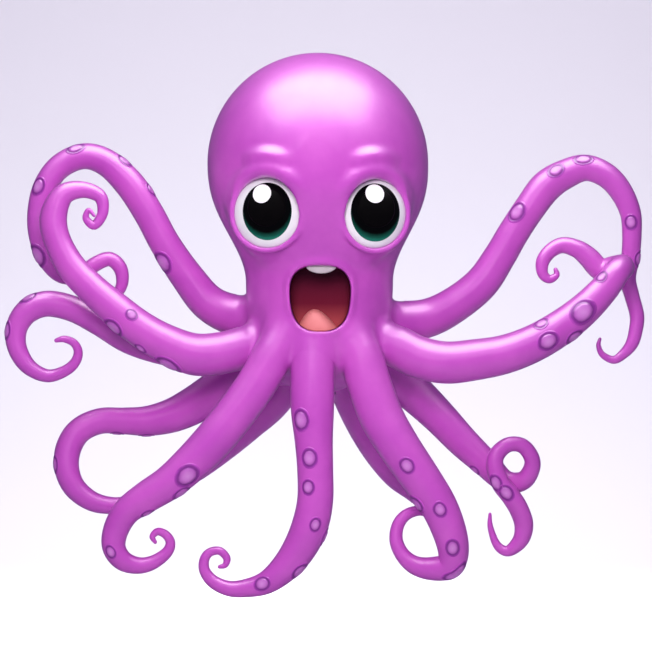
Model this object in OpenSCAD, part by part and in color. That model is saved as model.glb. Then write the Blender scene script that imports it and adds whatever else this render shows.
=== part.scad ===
// Inflated show kite in the form of an octopus. Millimetres, +Z up, face towards -Y.
// The origin is the centre of the tow eyelet under the belly.
// The head is a thin skin. Each arm is a root that is part of the body, a base and an end,
// with a soft bend between them that is modelled as a hinge.

/* [Head] */
// Radius of the crown
head_r = 405; // [390:5:415]
// Height of the crown's centre above the tow eyelet
crown_z = 905; // [895:5:915]
// Radius of the neck
neck_r = 270; // [262:2:276]
// Height of the neck
neck_z = 470; // [460:5:475]
// Thickness of the coated fabric skin with its taped seams
skin = 2; // [1.5:0.5:3]

/* [Eyes] */
// Radius of an eyeball
eye_r = 120; // [112:2:124]
// Distance of an eye from the middle plane
eye_x = 200; // [190:5:205]
// Height of the eyes
eye_z = 724; // [715:1:735]
// Angle by which an eye looks outwards
eye_turn = 16; // [8:1:20]

/* [Mouth] */
// Width of the mouth
mouth_w = 224; // [200:2:236]
// Height of the mouth
mouth_h = 246; // [220:2:256]
// Depth of the pocket behind the mouth
mouth_deep = 130; // [110:5:140]

/* [Arms] */
// Number of flat sides round an arm
arm_sides = 10; // [8:1:12]
// Distance between the rings of an arm
ring_step = 42; // [38:2:60]
// Half of the gap between two domed ends at a bend
bend_gap = 2; // [1.5:0.5:4]

/* [Fittings] */
// Radius of the tow eyelet's hole
eyelet_r = 12; // [8:1:14]
// Outer radius of the valve's body
valve_r = 25; // [22:1:28]
// Radius of the valve hinge's pin
pin_r = 1.5; // [1:0.25:2]

/* [Hidden] */
// An arm is its name, the route point of its root bend, that of its middle bend, its route
// and its suckers. A route point is [x, y, z, radius of the tube].
// A sucker is [place along the route, angle round the tube from the front, radius].
upper_left = ["upper_left", 2, 6,
  [[-150, 40, 340, 73], [-295, 105, 345, 77], [-405, 120, 390, 69], [-490, 120, 490, 62],
   [-570, 110, 610, 57], [-630, 105, 722, 56], [-700, 100, 830, 56], [-785, 95, 910, 51],
   [-870, 90, 935, 48], [-955, 90, 900, 46], [-1010, 85, 830, 44], [-1035, 85, 745, 42],
   [-1035, 80, 655, 41], [-1010, 80, 565, 37], [-955, 80, 500, 33], [-885, 80, 495, 30],
   [-830, 80, 535, 28], [-775, 85, 555, 27], [-735, 85, 520, 26], [-730, 85, 460, 22],
   [-765, 90, 410, 17], [-810, 90, 405, 10]],
  [[3.65, -50, 42], [5.55, 72, 26], [6.6, 66, 28], [8.25, 46, 28], [10.2, 30, 30], [12.85, 50, 40]]];
middle_left = ["middle_left", 2, 5,
  [[-145, -50, 275, 73], [-260, -95, 235, 77], [-355, -110, 210, 77], [-455, -120, 205, 77],
   [-560, -120, 245, 70], [-655, -115, 300, 66], [-750, -110, 375, 62], [-830, -105, 445, 57],
   [-905, -100, 525, 54], [-955, -95, 620, 50], [-970, -90, 705, 50], [-935, -90, 785, 40],
   [-865, -90, 805, 31], [-800, -95, 780, 25], [-790, -100, 720, 20], [-820, -105, 675, 17],
   [-850, -110, 700, 13], [-840, -115, 730, 9], [-820, -120, 710, 6]],
  [[3.65, -70, 46], [4.6, -62, 22], [5.4, 22, 24], [5.6, -62, 40]]];
low_left = ["low_left", 2, 4,
  [[-175, 40, 215, 48], [-310, 60, 200, 50], [-440, 60, 195, 52], [-570, 55, 215, 52],
   [-700, 45, 255, 50], [-810, 40, 320, 48], [-905, 35, 370, 48], [-1000, 30, 390, 48],
   [-1070, 25, 365, 46], [-1110, 20, 310, 41], [-1115, 15, 245, 37], [-1090, 10, 185, 33],
   [-1050, 5, 145, 28], [-995, 5, 125, 24], [-940, 0, 140, 21], [-900, -5, 170, 19],
   [-885, -5, 210, 17], [-900, -10, 245, 15], [-935, -10, 260, 13], [-965, -10, 255, 8]],
  [[7.7, 64, 27], [9.4, 60, 27]]];
back_left = ["back_left", 2, 4,
  [[-125, 110, 165, 74], [-260, 180, 140, 78], [-370, 205, 75, 76], [-465, 205, 15, 71],
   [-550, 200, -25, 64], [-640, 190, -45, 56], [-725, 175, -45, 50], [-815, 160, -45, 48],
   [-890, 145, -80, 48], [-930, 130, -145, 48], [-935, 115, -220, 46], [-905, 105, -290, 42],
   [-840, 100, -340, 37], [-765, 100, -355, 31], [-695, 105, -340, 24], [-625, 110, -305, 14]],
  [[5.1, -80, 24], [6.3, -80, 24], [9.8, 66, 26]]];
front_left = ["front_left", 2, 5,
  [[-105, -150, 325, 73], [-160, -190, 220, 74], [-220, -205, 110, 73], [-290, -215, 10, 73],
   [-370, -220, -90, 73], [-455, -220, -180, 69], [-540, -215, -255, 63], [-625, -205, -310, 58],
   [-695, -195, -360, 51], [-735, -185, -425, 47], [-745, -180, -490, 43], [-715, -175, -540, 38],
   [-660, -170, -560, 31], [-605, -170, -550, 26], [-555, -170, -515, 21], [-540, -170, -480, 18],
   [-555, -175, -450, 16], [-585, -175, -437, 14], [-605, -180, -455, 11], [-595, -180, -475, 7]],
  [[5.4, -22, 44], [5.9, -66, 32], [7.3, -70, 26], [10.2, 20, 22]]];
front_centre = ["front_centre", 2, 4,
  [[-20, -140, 310, 76], [-25, -190, 220, 80], [-25, -215, 115, 80], [-25, -230, 5, 78],
   [-20, -240, -105, 69], [-15, -245, -210, 65], [-15, -245, -320, 65], [-35, -240, -415, 66],
   [-75, -230, -500, 61], [-130, -225, -570, 52], [-195, -220, -620, 42], [-270, -215, -640, 33],
   [-330, -215, -640, 28], [-385, -210, -615, 24], [-415, -210, -575, 20], [-415, -210, -535, 18],
   [-395, -210, -510, 16], [-360, -215, -505, 15], [-335, -215, -530, 14], [-340, -218, -555, 11],
   [-360, -220, -562, 7]],
  [[3.35, 35, 38], [4.6, 17, 34], [5.55, 25, 28], [6.8, -15, 24], [7.15, -80, 28],
   [8.6, -60, 32], [10.1, 6, 30]]];
front_right = ["front_right", 2, 4,
  [[95, -150, 310, 73], [145, -185, 215, 78], [180, -200, 100, 80], [225, -210, -20, 80],
   [290, -220, -130, 76], [365, -220, -240, 72], [430, -220, -340, 67], [470, -215, -435, 62],
   [485, -200, -510, 56], [470, -185, -560, 49], [410, -165, -572, 43], [350, -150, -562, 35],
   [305, -140, -527, 28], [280, -130, -475, 25], [285, -120, -420, 23], [315, -115, -380, 21],
   [365, -110, -365, 18], [415, -110, -385, 12]],
  [[4.5, 12, 30], [5.6, 72, 38], [6.1, 2, 28], [7.55, 4, 30], [8.9, -50, 30]]];
back_right = ["back_right", 2, 4,
  [[130, 110, 165, 70], [245, 155, 140, 74], [345, 170, 65, 72], [440, 160, -25, 65],
   [530, 145, -120, 59], [610, 125, -195, 52], [685, 100, -265, 42], [755, 70, -260, 35],
   [785, 50, -195, 30], [750, 35, -135, 28], [690, 20, -130, 28], [645, 5, -180, 31],
   [660, 0, -260, 34], [705, 5, -320, 36], [735, 20, -370, 36], [752, 35, -425, 35],
   [740, 40, -480, 30], [695, 45, -520, 21], [655, 50, -500, 16], [630, 50, -435, 11],
   [628, 50, -385, 6]],
  [[5.0, 66, 24], [12.0, 30, 28], [12.6, 10, 30]]];
middle_right = ["middle_right", 2, 6,
  [[150, -50, 275, 73], [265, -95, 240, 77], [360, -110, 195, 77], [460, -120, 175, 77],
   [565, -120, 185, 75], [675, -120, 205, 71], [780, -120, 245, 68], [875, -115, 300, 65],
   [960, -110, 365, 60], [1035, -100, 440, 54], [1085, -90, 505, 48], [1108, -40, 525, 45],
   [1078, 15, 522, 43], [1034, 30, 515, 41], [990, 30, 560, 39], [950, 25, 590, 34],
   [895, 20, 605, 30], [850, 15, 585, 27], [820, 10, 545, 25], [820, 5, 500, 20],
   [845, 5, 480, 16], [870, 5, 495, 12], [867, 5, 515, 8]],
  [[6.4, 14, 38], [6.5, -52, 30], [7.2, 62, 34], [7.9, 2, 48], [9.3, -46, 26]]];
upper_right = ["upper_right", 2, 6,
  [[155, 40, 330, 73], [290, 105, 325, 76], [402, 130, 338, 72], [505, 130, 390, 67],
   [600, 130, 467, 64], [665, 130, 562, 60], [720, 125, 656, 58], [780, 120, 747, 58],
   [840, 120, 825, 60], [910, 115, 870, 55], [985, 110, 893, 49], [1060, 105, 865, 46],
   [1115, 105, 805, 43], [1150, 105, 725, 39], [1155, 105, 640, 36], [1150, 110, 560, 34],
   [1140, 110, 485, 31], [1155, 105, 420, 28], [1173, 100, 350, 27], [1170, 95, 300, 26],
   [1155, 90, 245, 24], [1125, 90, 207, 19], [1087, 85, 183, 15], [1045, 80, 202, 12],
   [1030, 80, 235, 9], [1035, 80, 260, 6]],
  [[6.6, -36, 38], [8.7, -30, 30], [9.9, -40, 28], [13.4, 10, 28], [15.0, -66, 30]]];
rear_left = ["rear_left", 2, 4,
  [[-70, 150, 220, 62], [-105, 225, 120, 62], [-175, 250, 20, 62], [-265, 255, -60, 60],
   [-355, 245, -140, 54], [-440, 240, -215, 43], [-505, 240, -265, 33], [-555, 265, -295, 24],
   [-585, 295, -300, 18], [-590, 320, -280, 13], [-570, 335, -262, 8]],
  []];
rear_right = ["rear_right", 2, 4,
  [[60, 150, 220, 62], [95, 210, 100, 66], [150, 235, -25, 67], [215, 240, -145, 62],
   [285, 230, -245, 52], [350, 220, -305, 41], [405, 230, -360, 31], [430, 250, -400, 23],
   [435, 280, -420, 17], [415, 305, -410, 12], [390, 320, -385, 8]],
  []];
arms = [upper_left, middle_left, low_left, back_left, front_left, front_centre,
        front_right, back_right, middle_right, upper_right, rear_left, rear_right];

fixed_nodes = ["head_skin", "arm_roots", "brow_folds", "eye_rims", "eye_white_left", "eye_white_right",
               "iris_left", "iris_right", "pupil_left", "pupil_right", "eye_highlights", "mouth_lip",
               "mouth_liner", "upper_teeth", "tongue", "tow_patch", "tow_eyelet", "valve_body",
               "valve_pin", "valve_cap", "valve_flap"];

purple = "#b455bf";
dark_purple = "#7a2f8c";

// The hub under the neck, down to the belly
hub_r = 258;
hub_z = 330;
belly_z = 62;
// Height steps of the head's outline: the first one under the crown's centre, then the others
first_step = 35;
outline_step = 40;

// The eyes' distance in front of the middle plane, and the films that lie on them
eye_y = -255;
film = 2;
film_gap = 0.3;
iris_r = 96;
pupil_r = 80;
pupil_lift = 6;
spark_r = 32;
spark_lift = 34;
// Room for the films between an eye and the head's skin
film_room = 7;
rim_r = 8;

// The soft folds over an eye: thickness, distance out from the eye and half of the sweep
lid_fold = [15, 16, 62];
brow_fold = [13, 42, 34];

// The mouth's centre, the lip's roll, the liner's wall and the place of the pocket's back
mouth_x = 5;
mouth_z = 407;
mouth_taper = 0.16;
lip_r = 12;
lip_out = 5;
liner = 4;
mouth_back = neck_r - mouth_deep;

// The tooth strip: width, height and thickness
teeth = [120, 30, 12];

// The tow tab's disc, its round end and its thickness
tow_disc_r = 60;
tow_tab_r = 30;
tow_tab = 6;

// The valve at the back of the crown
valve_y = 405;
valve_z = crown_z;
valve_wall = 5;
valve_deep = 25;
valve_out = 15;
flange_w = 16;
flange_h = 4;
lug = [6, 8];
knuckle_w = 16;
knuckle_r = 3;
hinge_gap = 1;
pin_gap = 0.05;
cap_h = 6;
flap_h = 2;
lug_z = valve_z + valve_r + 9;
cap_y = valve_y + valve_out + hinge_gap + cap_h / 2;

// The suckers on an arm's base, or those on its end
function suckers_of(arm, on_base) = [for (s = arm[4]) if ((s[0] < arm[2]) == on_base) s];

function xyz(p) = [p[0], p[1], p[2]];
function unit(v) = v / norm(v);
function reversed(list) = [for (i = [len(list) - 1:-1:0]) list[i]];

// Radius of the head, neck and hub at a height, less the given inset
function neck_turn(z) = 180 * pow((crown_z - z) / (crown_z - neck_z), 1.25);
function neck_curve(z) = neck_r + (head_r - neck_r) * (1 + cos(neck_turn(z))) / 2;
function head_outline(inset) = concat(
  [for (a = [0:10:90]) [(head_r - inset) * sin(a), crown_z + (head_r - inset) * cos(a)]],
  [for (z = [crown_z - first_step:-outline_step:neck_z + 1]) [neck_curve(z) - inset, z]],
  [for (a = [0:10:90]) [(hub_r - inset) * cos(a), hub_z - (hub_z - belly_z - inset) * sin(a)]]);

// A point of the smooth curve through a route, at i + t
function at(route, i) = route[max(0, min(len(route) - 1, i))];
function knot(route, i, t) =
  let (a = at(route, i - 1), b = at(route, i), c = at(route, i + 1), d = at(route, i + 2))
  0.5 * (2 * b + (c - a) * t + (2 * a - 5 * b + 4 * c - d) * t * t + (3 * b - a - 3 * c + d) * t * t * t);
function place(route, s) = knot(route, floor(s), s - floor(s));
function along(route, from, to) = concat(
  [for (i = [from:to - 1])
    let (n = max(1, ceil(norm(xyz(at(route, i + 1) - at(route, i))) / ring_step)))
    for (k = [0:n - 1]) knot(route, i, k / n)],
  [at(route, to)]);

// Rings clear of a bend at p, and the dome that faces it
function clear_of(rings, p) = [for (r = rings) if (norm(xyz(r - p)) > 0.3 * p[3] + bend_gap) r];
function dome(ring, p) = [for (a = [32, 60, 80])
  [each xyz(ring) + xyz(p - ring) * (1 - bend_gap / norm(xyz(p - ring))) * sin(a), ring[3] * cos(a)]];
function tip(route) =
  let (last = at(route, len(route) - 1), out = unit(xyz(last - at(route, len(route) - 2))))
  [for (a = [40, 75]) [each xyz(last) + out * last[3] * sin(a), last[3] * cos(a)]];
function base_rings(arm) =
  let (a = at(arm[3], arm[1]), b = at(arm[3], arm[2]),
       mid = clear_of(clear_of(along(arm[3], arm[1], arm[2]), a), b))
  concat(reversed(dome(mid[0], a)), mid, dome(mid[len(mid) - 1], b));
function end_rings(arm) =
  let (b = at(arm[3], arm[2]), mid = clear_of(along(arm[3], arm[2], len(arm[3]) - 1), b))
  concat(reversed(dome(mid[0], b)), mid, tip(arm[3]));
function root_rings(arm) =
  let (a = at(arm[3], arm[1]), mid = clear_of(along(arm[3], 0, arm[1]), a))
  concat(mid, dome(mid[len(mid) - 1], a));

// A side direction carried along the rings without twist
function carried(rings, i, side) = i == len(rings) ? [] :
  let (d = unit(xyz(at(rings, i + 1) - at(rings, i - 1))), s = unit(side - (side * d) * d))
  concat([[s, cross(d, s)]], carried(rings, i + 1, s));

module tube(rings, sides) {
  frames = carried(rings, 0, [0, 1, 0]);
  points = [for (i = [0:len(rings) - 1]) for (k = [0:sides - 1])
    let (a = 360 * k / sides)
    xyz(rings[i]) + rings[i][3] * (cos(a) * frames[i][0] + sin(a) * frames[i][1])];
  walls = [for (i = [0:len(rings) - 2]) for (k = [0:sides - 1])
    let (a = i * sides + k, b = i * sides + (k + 1) % sides)
    each [[a, a + sides, b], [b, a + sides, b + sides]]];
  last = (len(rings) - 1) * sides;
  polyhedron(points, concat([[for (k = [0:sides - 1]) k]], walls, [[for (k = [sides - 1:-1:0]) last + k]]));
}

// Turns +Z to look along a direction
module facing(d) {
  rotate([0, acos(d[2] / norm(d)), atan2(d[1], d[0])]) children();
}

// A cylinder along Y from y, at a place above the origin
module along_y(y, z, r, h) {
  translate([0, y, z]) rotate([-90, 0, 0]) cylinder(r = r, h = h, $fn = 64);
}

// A cylinder along X through the valve's hinge line
module along_hinge(r, w) {
  translate([-w / 2, cap_y, lug_z]) rotate([0, 90, 0]) cylinder(r = r, h = w, $fn = 32);
}

module mouth_outline(grow) {
  polygon([for (a = [0:10:350])
    [(mouth_w / 2 + grow) * cos(a) * (1 + mouth_taper * sin(a)), (mouth_h / 2 + grow) * sin(a)]]);
}

// The space of the mouth's pocket, from its back wall out through the face
module mouth_space(grow, wall) {
  translate([mouth_x, -mouth_back - wall, mouth_z]) rotate([90, 0, 0])
    linear_extrude(head_r) mouth_outline(grow);
}

module at_eye(side) {
  translate([side * eye_x, eye_y, eye_z]) rotate([0, 0, side * eye_turn]) rotate([90, 0, 0]) children();
}

module head_skin() {
  color(purple) difference() {
    rotate_extrude($fn = 96) polygon(concat(head_outline(0), reversed(head_outline(skin))));
    for (side = [-1, 1]) at_eye(side) sphere(eye_r + film_room, $fn = 64);
    mouth_space(0, 0);
    along_y(valve_y - valve_deep, valve_z, valve_r + 1, 2 * valve_deep);
  }
}

module arm_roots() {
  color(purple) difference() {
    for (arm = arms) hull() tube(root_rings(arm), 12);
    mouth_space(-liner, 0);
  }
}

// Part of a soft ring round an eye, centred over it
module fold(shape) {
  rotate([0, 0, 90 - shape[2]]) rotate_extrude(angle = 2 * shape[2], $fn = 96)
    translate([eye_r + shape[1], 0]) circle(r = shape[0], $fn = 24);
}

module brow_folds() {
  color(purple) for (side = [-1, 1]) {
    at_eye(side) translate([0, 0, 34]) fold(lid_fold);
    at_eye(side) translate([-side * 20, 24, 18]) fold(brow_fold);
  }
}

module eye_rims() {
  color(dark_purple) for (side = [-1, 1]) at_eye(side) translate([0, 0, 10])
    rotate_extrude($fn = 96) translate([eye_r + 6, 0]) circle(r = rim_r, $fn = 24);
}

module eye_white(side) {
  color("white") at_eye(side) difference() {
    sphere(eye_r, $fn = 96);
    translate([0, 0, -eye_r - 20]) cube([2 * eye_r + 2, 2 * eye_r + 2, 2 * eye_r], center = true);
  }
}

// A thin round lens that lies on a ball of radius r
module lens(r, edge_r) {
  intersection() {
    difference() {
      sphere(r + film, $fn = 96);
      sphere(r, $fn = 96);
    }
    cylinder(r = edge_r, h = 2 * r, $fn = 96);
  }
}

module iris(side) {
  color("#1f7a5f") at_eye(side) lens(eye_r + film_gap, iris_r);
}

module pupil(side) {
  color("black") at_eye(side) rotate([-pupil_lift, 0, 0])
    lens(eye_r + film + 2 * film_gap, pupil_r);
}

module eye_highlights() {
  color("white") for (side = [-1, 1]) at_eye(side) rotate([-spark_lift, 0, 0])
    lens(eye_r + 2 * film + 3 * film_gap, spark_r);
}

module mouth_lip() {
  path = [for (a = [0:12:360])
    let (x = mouth_x + (mouth_w / 2 + lip_out) * cos(a) * (1 + mouth_taper * sin(a)),
         z = mouth_z + (mouth_h / 2 + lip_out) * sin(a),
         r = z > neck_z ? neck_curve(z) : neck_r)
    [x, -sqrt(r * r - x * x), z, lip_r]];
  color(dark_purple) tube(path, 8);
}

module mouth_liner() {
  color("#5a1e2e") intersection() {
    difference() {
      mouth_space(-liner, 0);
      mouth_space(-2 * liner, liner);
    }
    cylinder(r = neck_r - skin, h = crown_z, $fn = 96);
  }
}

module upper_teeth() {
  color("#cfc9cc") intersection() {
    translate([mouth_x, 0, mouth_z + mouth_h / 2 - teeth[1] - liner]) difference() {
      cylinder(r = neck_r - 18, h = teeth[1], $fn = 96);
      translate([0, 0, -1]) cylinder(r = neck_r - 18 - teeth[2], h = teeth[1] + 2, $fn = 96);
    }
    translate([mouth_x - teeth[0] / 2, -neck_r, 0]) cube([teeth[0], neck_r, crown_z]);
    mouth_space(-2 * liner - film_gap, 0);
  }
}

module tongue() {
  color("#e88a84") translate([mouth_x, -200, mouth_z - 83]) hull() {
    translate([0, 20, 0]) sphere(34, $fn = 28);
    for (x = [-22, 22]) translate([x, -6, 0]) sphere(24, $fn = 28);
  }
}

module tow_patch() {
  color(dark_purple) difference() {
    union() {
      translate([0, 0, belly_z - 5]) cylinder(r = tow_disc_r, h = 10, $fn = 64);
      translate([-tow_tab_r, -tow_tab / 2, 0]) cube([2 * tow_tab_r, tow_tab, belly_z]);
      along_y(-tow_tab / 2, 0, tow_tab_r, tow_tab);
    }
    along_y(-tow_tab, 0, eyelet_r + 2, 2 * tow_tab);
  }
}

module tow_eyelet() {
  color("silver") rotate([90, 0, 0]) rotate_extrude($fn = 64)
    polygon([[eyelet_r, -6], [eyelet_r + 8, -6], [eyelet_r + 8, -3.2], [eyelet_r + 1.8, -3.2],
             [eyelet_r + 1.8, 3.2], [eyelet_r + 8, 3.2], [eyelet_r + 8, 6], [eyelet_r, 6]]);
}

module valve_body() {
  color("#3b3b40") difference() {
    union() {
      along_y(valve_y - valve_deep, valve_z, valve_r, valve_deep + valve_out);
      along_y(valve_y, valve_z, valve_r + flange_w, flange_h);
      for (x = [-knuckle_w / 2 - hinge_gap - lug[0], knuckle_w / 2 + hinge_gap])
        translate([x, valve_y + 1, lug_z - lug[1] / 2])
          cube([lug[0], cap_y - valve_y + cap_h / 2, lug[1]]);
    }
    along_y(valve_y - 2 * valve_deep, valve_z, valve_r - valve_wall, 4 * valve_deep);
    along_hinge(pin_r, 2 * knuckle_w);
  }
}

module valve_pin() {
  color("silver") along_hinge(pin_r, knuckle_w + 2 * hinge_gap + 2 * lug[0]);
}

module valve_cap() {
  color(purple) difference() {
    union() {
      along_y(cap_y - cap_h / 2, valve_z, valve_r + 1, cap_h);
      translate([-knuckle_w / 2, cap_y - cap_h / 2, valve_z + valve_r - lug[0] / 2])
        cube([knuckle_w, cap_h, lug_z - valve_z - valve_r + lug[0] / 2]);
      along_hinge(knuckle_r, knuckle_w);
    }
    along_hinge(pin_r + pin_gap, 2 * knuckle_w);
  }
}

module valve_flap() {
  color("#e8e8e8") along_y(valve_y - valve_deep - 2 * flap_h, valve_z, valve_r - flap_h, flap_h);
}

module arm_base(arm) {
  color(purple) tube(base_rings(arm), arm_sides);
}

module arm_end(arm) {
  color(purple) tube(end_rings(arm), arm_sides);
}

// A soft cup with a raised rim, sunk into the arm that carries it
module sucker(r) {
  rotate_extrude($fn = 48)
    polygon(r * [[0, -0.4], [0.85, -0.4], [1, -0.05], [0.94, 0.1], [0.78, 0.14], [0.6, 0.05], [0, 0.03]]);
}

module suckers(arm, on_base) {
  color(dark_purple) for (s = suckers_of(arm, on_base)) {
    p = place(arm[3], s[0]);
    d = unit(xyz(place(arm[3], s[0] + 0.1) - place(arm[3], s[0] - 0.1)));
    front = unit([0, -1, 0] + d[1] * d);
    out = cos(s[1]) * front + sin(s[1]) * cross(d, front);
    translate(xyz(p) + out * p[3]) facing(out) sucker(s[2]);
  }
}

head_skin();
arm_roots();
brow_folds();
eye_rims();
eye_white(-1);  // eye_white_left
eye_white(1);  // eye_white_right
iris(-1);  // iris_left
iris(1);  // iris_right
pupil(-1);  // pupil_left
pupil(1);  // pupil_right
eye_highlights();
mouth_lip();
mouth_liner();
upper_teeth();
tongue();
tow_patch();
tow_eyelet();
valve_body();
valve_pin();
valve_cap();
valve_flap();
for (arm = arms) arm_base(arm);
for (arm = arms) arm_end(arm);
for (arm = arms) suckers(arm, true);
for (arm = arms) suckers(arm, false);
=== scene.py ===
import math
import bpy
import numpy as np
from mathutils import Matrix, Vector


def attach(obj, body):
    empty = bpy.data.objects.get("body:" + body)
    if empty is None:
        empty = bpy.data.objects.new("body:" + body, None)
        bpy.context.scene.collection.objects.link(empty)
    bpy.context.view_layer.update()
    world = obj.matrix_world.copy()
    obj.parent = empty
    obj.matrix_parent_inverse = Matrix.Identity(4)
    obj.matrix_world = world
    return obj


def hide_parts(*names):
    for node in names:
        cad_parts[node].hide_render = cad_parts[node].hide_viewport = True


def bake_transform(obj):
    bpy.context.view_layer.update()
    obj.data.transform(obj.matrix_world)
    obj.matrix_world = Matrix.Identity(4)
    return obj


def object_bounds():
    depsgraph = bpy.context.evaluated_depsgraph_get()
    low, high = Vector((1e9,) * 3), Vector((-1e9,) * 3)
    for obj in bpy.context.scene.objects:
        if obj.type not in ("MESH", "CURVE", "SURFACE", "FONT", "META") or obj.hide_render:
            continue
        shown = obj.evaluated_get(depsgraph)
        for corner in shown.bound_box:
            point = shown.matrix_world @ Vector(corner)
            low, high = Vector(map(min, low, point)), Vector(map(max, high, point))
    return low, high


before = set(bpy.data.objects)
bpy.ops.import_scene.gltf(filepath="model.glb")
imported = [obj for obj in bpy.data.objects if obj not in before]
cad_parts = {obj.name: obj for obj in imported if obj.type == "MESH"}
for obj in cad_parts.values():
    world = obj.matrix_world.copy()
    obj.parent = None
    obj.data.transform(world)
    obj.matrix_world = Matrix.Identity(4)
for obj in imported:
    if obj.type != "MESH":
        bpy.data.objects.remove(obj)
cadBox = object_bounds()
print("frame loaded")

# ---------- camera, floor and light ----------

view = {
    "distance": 14.0,      # far enough back for a flat, catalogue-like perspective
    "height": 0.308,
    "side": 0.024,
    "pictureWidth": 2.393, # metres across the picture at the kite's middle plane
    "sensor": 36.0,
    "floorDrop": 0.50,     # the floor is this far under the lowest curl
}


def toLinear(hexColour):
    channels = [int(hexColour[i:i + 2], 16) / 255 for i in (1, 3, 5)]
    return [c / 12.92 if c <= 0.04045 else ((c + 0.055) / 1.055) ** 2.4 for c in channels] + [1.0]


def addNode(tree, kind, settings=None, links=None):
    node = tree.nodes.new(kind)
    for name, value in (settings or {}).items():
        if isinstance(name, int) or name in node.inputs:
            node.inputs[name].default_value = value
        else:
            setattr(node, name, value)
    for name, source in (links or {}).items():
        tree.links.new(source, node.inputs[name])
    return node


def newMaterial(name):
    material = bpy.data.materials.new(name)
    material.use_nodes = True
    tree = material.node_tree
    tree.nodes.clear()
    return material, tree


def finishMaterial(tree, shader):
    addNode(tree, "ShaderNodeOutputMaterial", links={"Surface": shader.outputs[0]})


def addCamera():
    data = bpy.data.cameras.new("camera")
    data.sensor_width = view["sensor"]
    data.lens = view["sensor"] * view["distance"] / view["pictureWidth"]
    camera = bpy.data.objects.new("camera", data)
    camera.location = (view["side"], -view["distance"], view["height"])
    camera.rotation_euler = (math.radians(90), 0, 0)
    bpy.context.scene.collection.objects.link(camera)
    bpy.context.scene.camera = camera


def addAreaLight(name, place, target, size, power, colour="#ffffff", spread=180, reach="diffuse gloss"):
    data = bpy.data.lights.new(name, "AREA")
    data.shape = "RECTANGLE"
    data.size, data.size_y = size
    data.energy = power
    data.color = toLinear(colour)[:3]
    data.spread = math.radians(spread)
    light = bpy.data.objects.new(name, data)
    light.location = place
    light.visible_camera = False
    light.visible_diffuse = "diffuse" in reach
    light.visible_glossy = "gloss" in reach
    light.rotation_euler = (Vector(target) - Vector(place)).to_track_quat("-Z", "Y").to_euler()
    bpy.context.scene.collection.objects.link(light)


def addStudio():
    world = bpy.data.worlds.new("studio")
    world.use_nodes = True
    world.node_tree.nodes["Background"].inputs["Color"].default_value = toLinear("#cdb8ff")
    world.node_tree.nodes["Background"].inputs["Strength"].default_value = 0.20
    bpy.context.scene.world = world
    addAreaLight("front_softbox", (-0.3, -5.0, 2.0), (0, 0, 0.3), (2.6, 2.2), 262, "#fff8fa",
                 reach="diffuse")
    addAreaLight("top_softbox", (0.1, -0.6, 3.5), (0, 0, 0.6), (4.0, 2.8), 75)
    # a wide sheet overhead that only the gloss picks up, for the pale sheen on the crown and the arms
    addAreaLight("sheen_sheet", (0.0, -1.0, 3.6), (0, 0, 0.6), (5.0, 3.0), 340, reach="gloss")
    for side in (-1, 1):
        addAreaLight("sweep_light", (side * 2.4, 0.9, 2.6), (side * 0.9, 7.0, -1.0), (1.6, 1.6), 560,
                     spread=120)


def addFloor():
    # Painted studio sweep: matt, so it takes only a soft shadow
    low = cadBox[0][2] - view["floorDrop"]
    reach, back, rise, steps = 12.0, 9.0, 7.0, 20
    profile = [(-16.0, low)] + [
        (back + rise * math.sin(a), low + rise * (1 - math.cos(a)))
        for a in (math.radians(90) * i / steps for i in range(steps + 1))]
    verts = [(x, y, z) for y, z in profile for x in (-reach, reach)]
    faces = [(2 * i, 2 * i + 1, 2 * i + 3, 2 * i + 2) for i in range(len(profile) - 1)]
    mesh = bpy.data.meshes.new("sweep")
    mesh.from_pydata(verts, [], faces)
    for face in mesh.polygons:
        face.use_smooth = True
    floor = bpy.data.objects.new("sweep", mesh)
    bpy.context.scene.collection.objects.link(floor)
    material, tree = newMaterial("studio_paint")
    shader = addNode(tree, "ShaderNodeBsdfPrincipled", {"Base Color": toLinear("#e4e1e8"), "Roughness": 0.9})
    finishMaterial(tree, shader)
    mesh.materials.append(material)
    # the set is left out of the gloss, as black flags would do, so the edges of the arms stay dark
    floor.visible_glossy = False


bpy.context.scene.view_settings.view_transform = "Standard"
addCamera()
addStudio()
addFloor()
print("camera, light and floor")

# ---------- materials ----------


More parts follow.
